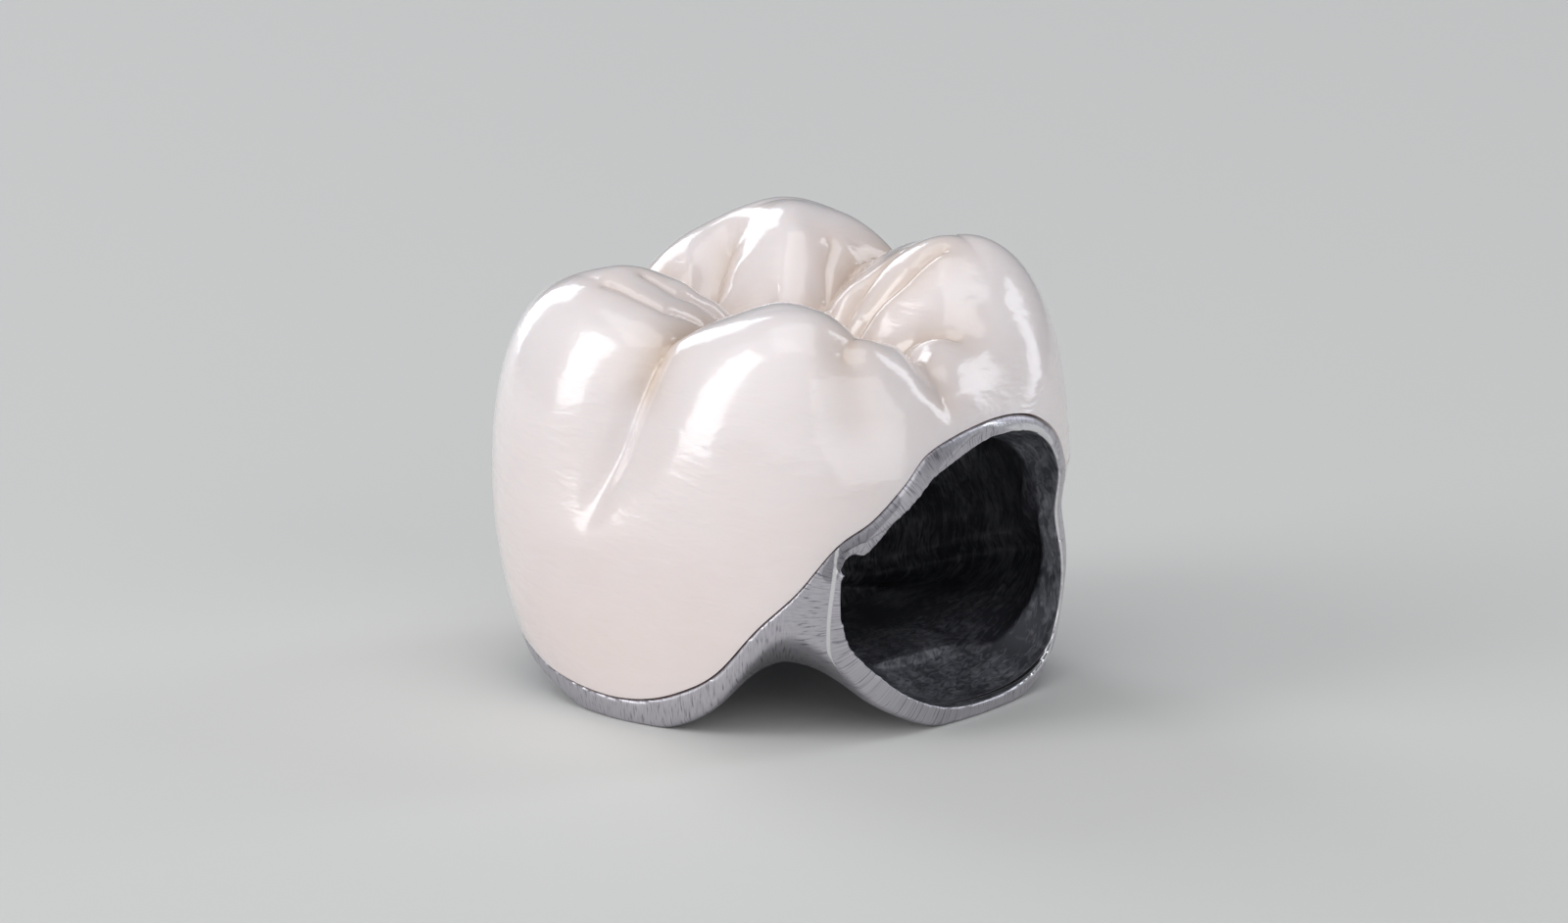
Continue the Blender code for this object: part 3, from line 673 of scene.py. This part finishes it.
def mouthOutline(end, grow, elsewhere):
    # the mouth's edge as a smooth closed line, moved out by one distance on the rim's side
    form = mouthForm
    edge = np.array(form["edge"] + form[end])
    count, segments = len(edge), form["segments"]
    place = np.arange(segments) * count / segments
    first = place.astype(int)
    near = [edge[(first + step) % count] for step in (-1, 0, 1, 2)]
    spans = [np.hypot(*(near[i + 1] - near[i]).T)[:, None] for i in range(3)]
    share = (place - first)[:, None]
    square, cube = share**2, share**3
    startSlope = (near[2] - near[0]) / (spans[0] + spans[1]) * spans[1]
    endSlope = (near[3] - near[1]) / (spans[1] + spans[2]) * spans[1]
    outline = (near[1] * (2 * cube - 3 * square + 1) + startSlope * (cube - 2 * square + share)
               + near[2] * (3 * square - 2 * cube) + endSlope * (cube - square))
    along = np.roll(outline, -1, axis=0) - np.roll(outline, 1, axis=0)
    along /= np.hypot(*along.T)[:, None]
    out = np.stack([-along[:, 1], along[:, 0]], axis=1)
    onRim = easeIn((out @ np.array(form["rimSide"]) - form["rimSideFrom"]) / form["rimSideBlend"])
    return outline + out * between(elsewhere, grow, onRim)[:, None]


def rimFaceX(y, z):
    form = mouthForm
    return form["faceX"] + form["leanY"] * y + form["leanZ"] * z - form["bow"] * y * y


def outerX(y, z):
    # how far out the crown's outer form is over a place on its distal side
    x = np.full(np.shape(y), 5.0)
    for _ in range(20):  # each turn comes nearer
        x = np.sqrt(np.maximum(outlineRadius(np.arctan2(y, x), z) ** 2 - y * y, 1.0))
    return x


def mouthEdge():
    # the mouth's edge as (X, Y, Z), on the rim's face or on the crown's outer form
    outline = mouthOutline("hook", 0, 0)
    return np.column_stack([np.minimum(rimFaceX(*outline.T), outerX(*outline.T)), outline])


def plugFromRings(name, rings):
    # a grid rolled into a tube whose loops are laid on the given rings, with closed ends
    segments = len(rings[0])
    bpy.ops.object.select_all(action="DESELECT")
    bpy.ops.mesh.primitive_grid_add(x_subdivisions=segments, y_subdivisions=len(rings) - 1, size=2)
    plug = bpy.context.object
    plug.name = plug.data.name = name
    unit = vertexPlaces(plug, 1)
    column = np.rint((unit[:, 0] + 1) / 2 * segments).astype(int) % segments
    row = np.rint((unit[:, 1] + 1) / 2 * (len(rings) - 1)).astype(int)
    plug.data.vertices.foreach_set("co", (np.array(rings)[row, column] * mm).ravel())
    plug.data.update()
    bpy.ops.object.mode_set(mode="EDIT")
    bpy.ops.mesh.select_all(action="SELECT")
    bpy.ops.mesh.remove_doubles(threshold=1e-8)
    bpy.ops.mesh.select_all(action="DESELECT")
    bpy.ops.mesh.select_mode(type="EDGE")
    bpy.ops.mesh.select_non_manifold()
    bpy.ops.mesh.edge_face_add()
    bpy.ops.mesh.select_all(action="SELECT")
    bpy.ops.mesh.normals_make_consistent(inside=False)
    bpy.ops.object.mode_set(mode="OBJECT")
    return plug


def mouthPlug(name, outline, depth, narrowing):
    form = mouthForm
    middle = outline.mean(axis=0)
    rings = [np.column_stack([np.full(len(outline), form["startX"]), outline])]
    levels = [(0, 1)]
    if depth:
        levels = [(depth * level, 1 - narrowing * level ** form["curve"])
                  for level in np.linspace(0, 1, form["depthRings"])]
    levels += [(depth, (1 - narrowing) * share) for share in form["closing"]]
    for sunk, share in levels:
        ring = middle + (outline - middle) * share
        rings.append(np.column_stack([rimFaceX(ring[:, 0], ring[:, 1]) - sunk, ring]))
    return plugFromRings(name, rings)


def basePlug():
    form = baseForm
    turn = np.linspace(0, 2 * math.pi, form["segments"], endpoint=False)

    def ring(height, rim):
        low, high = np.zeros(len(turn)), np.full(len(turn), crownForm["neckLength"])
        for _ in range(30):  # halves the gap each time
            tried = (low + high) / 2
            x, y = form["centreX"] + tried * np.cos(turn), tried * np.sin(turn)
            across = superellipse(np.arctan2(y, x), crownForm["neckLength"] / 2 - rim,
                                  crownForm["neckWidth"] / 2 - rim, crownForm["neckSquareness"])
            ahead = np.maximum((x - form["centreX"]) / (form["endX"] - form["centreX"]), 0)
            outside = (np.hypot(x, y) / across) ** form["squareness"] + ahead ** form["squareness"] > 1
            low, high = np.where(outside, low, tried), np.where(outside, tried, high)
        return np.column_stack([form["centreX"] + low * np.cos(turn), low * np.sin(turn),
                                np.full(len(turn), height)])

    top = crownForm["undersideHeight"] + 2 * wallForm["metal"]
    return plugFromRings("basePlug", [ring(form["startZ"], form["rim"]), ring(0, form["rim"]),
                                      ring(top, form["rim"] + form["flare"])])


def besideLine(places, line, closed=True):
    # distance to a line through points, and how far along it the nearest place is
    nearest, along, travelled = np.full(len(places), 1e9), np.zeros(len(places)), 0.0
    ends = np.roll(line, -1, axis=0) if closed else line[1:]
    for start, end in zip(line, ends):
        run = end - start
        length = np.linalg.norm(run)
        share = np.clip(((places - start) @ run) / length**2, 0, 1)
        away = np.linalg.norm(places - start - share[:, None] * run, axis=1)
        along = np.where(away < nearest, travelled + share * length, along)
        nearest = np.minimum(nearest, away)
        travelled += length
    return nearest, along


copingFinish = {
    "mouthAxis": (-0.6, 3.1),
    "crease": 0.022,  # half width of the painted highlight where the rim's face meets the band, in millimetres
    # width of the painted highlight round the mouth, by the angle round its middle
    "edgeHighlightWidths": [(-170, 0.06), (-120, 0.09), (-90, 0.13), (-60, 0.16), (-35, 0.12), (0, 0.05), (60, 0.05),
                      (100, 0.05), (135, 0.05), (160, 0.045)],
    # the line of the facet beside the rim that gets a painted shade, as (X, Y, Z)
    "shadedFacet": [(5.02, -3.19, 5.19), (4.9, -3.4, 4.97), (4.78, -3.58, 4.78), (4.64, -3.74, 4.57),
               (4.53, -3.86, 4.41), (4.38, -4.0, 4.27), (4.27, -4.08, 4.02), (4.14, -4.18, 3.75)],
    "shadeReaches": (0.1, 0.22),
    # where the rim's face is looked for: past its edge, round its middle, beside its edge, and from what X
    "faceSpill": 0.1,
    "faceReach": 3.5,
    "faceBeside": 0.6,
    "faceFromX": 3.5,
    "mouthScratches": (1.3, 0.5),  # how far from the mouth its scratches reach, and fade
    "collarRadius": 5,
    "insideRadius": 3.5,
}


def markFinishes(coping, skin):
    # how far each point is under the ground surface, where the painted highlight along the edges and the
    # painted shade beside the rim go, and which way its scratches run
    finish = copingFinish
    places = vertexPlaces(coping)
    x, y, z = places.T
    under = np.array([skin.find_nearest(Vector(place) * mm)[3] for place in places]) / mm
    spill = finish["faceSpill"]
    rim = mouthOutline("hookFree", mouthForm["rimWidth"] + spill, spill)
    rimAway, _ = besideLine(places[:, 1:], rim)
    middleAway = np.hypot(*(places[:, 1:] - rim.mean(axis=0)).T)
    onFace = ((middleAway < finish["faceReach"]) | (rimAway < finish["faceBeside"])) & (x > finish["faceFromX"])
    face = np.where(onFace, np.abs(x - rimFaceX(y, z)), 9.0)  # 9 mm is far off everything
    giveAttribute(coping, "under", "FLOAT", np.minimum(under, face))
    away, along = besideLine(places, mouthEdge())
    axisY, axisZ = finish["mouthAxis"]
    turn = np.arctan2(z - axisZ, y - axisY)
    # painted highlight near the mouth's edge and along the crease where the rim's face meets the band
    crease = np.hypot(under, face) / finish["crease"]
    giveAttribute(coping, "edgeAway", "FLOAT",
                  np.minimum(away / roundTheCrown(finish["edgeHighlightWidths"], turn), crease))
    # painted shade on the facet beside the rim
    shadeAway, _ = besideLine(places, np.array(finish["shadedFacet"]), closed=False)
    near, far = finish["shadeReaches"]
    giveAttribute(coping, "shadedFacet", "FLOAT", 1 - easeIn((shadeAway - near) / (far - near)))
    reach, fade = finish["mouthScratches"]
    giveAttribute(coping, "nearMouth", "FLOAT", easeIn((reach - away) / fade))
    level = np.zeros(len(places))
    for name, grain in {
        "mouthGrain": [along, away, level],
        "collarGrain": [np.arctan2(y, x) * finish["collarRadius"], z, level],
        "insideGrain": [x, turn * finish["insideRadius"], np.hypot(y - axisY, z - axisZ)],
    }.items():
        giveAttribute(coping, name, "FLOAT_VECTOR", np.column_stack(grain))


def metalCoping():
    sections = []
    for angle in everyAngle(copingMesh["columns"]):
        margin = collarHeight(angle)
        profile = outerProfile(angle)
        sideFoot = 3 * profileSteps
        rolled = sideFoot + profileSteps * copingMesh["rollShare"]
        core = coreProfile(angle, margin, copingMesh["coreRows"])
        side = resample(cutRoute(profile, sidePlace(profile, margin), sideFoot), copingMesh["collarRows"])
        roll = resample(cutRoute(profile, sideFoot, rolled), copingMesh["rollRows"])
        under = resample(cutRoute(profile, rolled, len(profile) - 1), copingMesh["undersideRows"])
        sections.append(np.vstack([core, side, roll[1:], under[1:]]))
    coping = shapedSphere("metalCoping", copingMesh["columns"], np.array(sections))
    skin = BVHTree.FromPolygons([vertex.co for vertex in coping.data.vertices],
                                [list(face.vertices) for face in coping.data.polygons])

    sections = []
    for angle in everyAngle(copingMesh["chamberColumns"]):
        sections.append(chamberProfile(angle, collarHeight(angle), copingMesh["chamberRows"]))
    cutters = [
        shapedSphere("chamberPlug", copingMesh["chamberColumns"], np.array(sections)),
        mouthPlug("mouthPlug", mouthOutline("hook", 0, 0), mouthForm["depth"], mouthForm["narrowing"]),
        mouthPlug("rimPlug", mouthOutline("hookFree", mouthForm["rimWidth"], -mouthForm["rimInset"]), 0, 0),
        basePlug(),
    ]
    for cutter in cutters:
        selectOnly(coping)
        cut = coping.modifiers.new(cutter.name, "BOOLEAN")
        cut.operation = "DIFFERENCE"
        cut.solver = "EXACT"
        cut.object = cutter
        bpy.ops.object.modifier_apply(modifier=cut.name)
        bpy.data.objects.remove(cutter, do_unlink=True)
        print("coping cut", len(coping.data.polygons))
    selectOnly(coping)
    remesh = coping.modifiers.new("even faces", "REMESH")
    remesh.mode = "VOXEL"
    remesh.voxel_size = copingMesh["grain"] * mm
    remesh.use_smooth_shade = True
    bpy.ops.object.modifier_apply(modifier=remesh.name)
    soften = coping.modifiers.new("worn edges", "SMOOTH")
    soften.factor = 0.5
    soften.iterations = copingMesh["worn"]
    bpy.ops.object.modifier_apply(modifier=soften.name)
    # fewer faces, but none taken from beside the mouth's edge
    edge = mouthEdge()
    edgeTree = KDTree(len(edge))
    for index, place in enumerate(edge):
        edgeTree.insert(place, index)
    edgeTree.balance()
    plain = [index for index, place in enumerate(vertexPlaces(coping))
             if edgeTree.find(place)[2] > copingMesh["fineWidth"]]
    coping.vertex_groups.new(name="plain").add(plain, 1.0, "REPLACE")
    thin = coping.modifiers.new("fewer faces", "DECIMATE")
    thin.vertex_group = "plain"
    thin.ratio = copingMesh["faces"] / (2 * len(coping.data.polygons))
    thin.use_collapse_triangulate = True
    bpy.ops.object.modifier_apply(modifier=thin.name)
    bpy.ops.object.shade_smooth()
    markFinishes(coping, skin)
    coping.data.materials.append(groundAlloy())
    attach(coping, "root")
    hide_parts("metal_coping")
    print("metal coping", len(coping.data.polygons))
    return coping


studio = {
    "azimuth": 35,
    "elevation": 15,
    "lens": 900,
    "frameWidth": 32.32,
    "sensor": 36,
    "target": (0.033, 0.023, 4.576),
    "aimHeight": 5.0,
    "floor": "#DADAD8",
    "floorSize": 3,  # metres
    "floorRoughness": 0.7,
    "air": "#D8DCE0",
    "airStrength": 0.26,
    # azimuth, elevation, distance, width and height in metres, power and colour of each softbox
    "softboxes": {
        "broadSoftbox": (0, 38, 0.30, 0.60, 0.40, 0.40, "#FFFFFF"),
        "leftSoftbox": (-34, 25, 0.28, 0.11, 0.26, 0.27, "#FFFFFF"),
        "topSoftbox": (35, 82, 0.25, 0.24, 0.20, 0.16, "#FFFFFF"),
        "mouthSoftbox": (72, 18, 0.30, 0.26, 0.22, 0.2, "#FFFFFF"),
        "rightStrip": (150, 24, 0.25, 0.06, 0.20, 0.09, "#F4F8FF"),
        "backStrip": (-110, 22, 0.25, 0.10, 0.20, 0.17, "#F4F8FF"),
    },
}


def direction(azimuth, elevation):
    turn, lift = math.radians(azimuth), math.radians(elevation)
    return Vector((math.sin(turn) * math.cos(lift), -math.cos(turn) * math.cos(lift), math.sin(lift)))


def aimedLamp(name, azimuth, elevation, distance, width, height, power, colour):
    away = direction(azimuth, elevation)
    aim = Vector((0, 0, studio["aimHeight"] * mm))
    bpy.ops.object.light_add(type="AREA", location=aim + away * distance)
    lamp = bpy.context.object
    lamp.name = name
    lamp.rotation_mode = "QUATERNION"
    lamp.rotation_quaternion = away.to_track_quat("Z", "Y")
    lamp.data.shape = "RECTANGLE"
    lamp.data.size, lamp.data.size_y = width, height
    lamp.data.energy = power
    lamp.data.color = linear(colour)[:3]


def buildStudio():
    back = direction(studio["azimuth"], studio["elevation"])
    distance = studio["frameWidth"] * mm * studio["lens"] / studio["sensor"]
    bpy.ops.object.camera_add(location=Vector(studio["target"]) * mm + back * distance)
    camera = bpy.context.object
    camera.rotation_mode = "QUATERNION"
    camera.rotation_quaternion = back.to_track_quat("Z", "Y")
    camera.data.lens = studio["lens"]
    camera.data.clip_start, camera.data.clip_end = 0.01, 10
    bpy.context.scene.camera = camera

    bpy.ops.mesh.primitive_plane_add(size=studio["floorSize"], location=(0, 0, 0))
    floor = bpy.context.object
    floor.name = "floor"
    material, tree, shader = newMaterial("matte grey paper")
    shader.inputs["Base Color"].default_value = linear(studio["floor"])
    shader.inputs["Roughness"].default_value = studio["floorRoughness"]
    floor.data.materials.append(material)

    world = bpy.data.worlds.new("studio air")
    bpy.context.scene.world = world
    world.use_nodes = True
    air = world.node_tree.nodes["Background"]
    air.inputs["Color"].default_value = linear(studio["air"])
    air.inputs["Strength"].default_value = studio["airStrength"]
    for name, settings in studio["softboxes"].items():
        aimedLamp(name, *settings)
    bpy.context.scene.view_settings.view_transform = "Standard"
    print("studio")


porcelainVeneer()
metalCoping()
buildStudio()
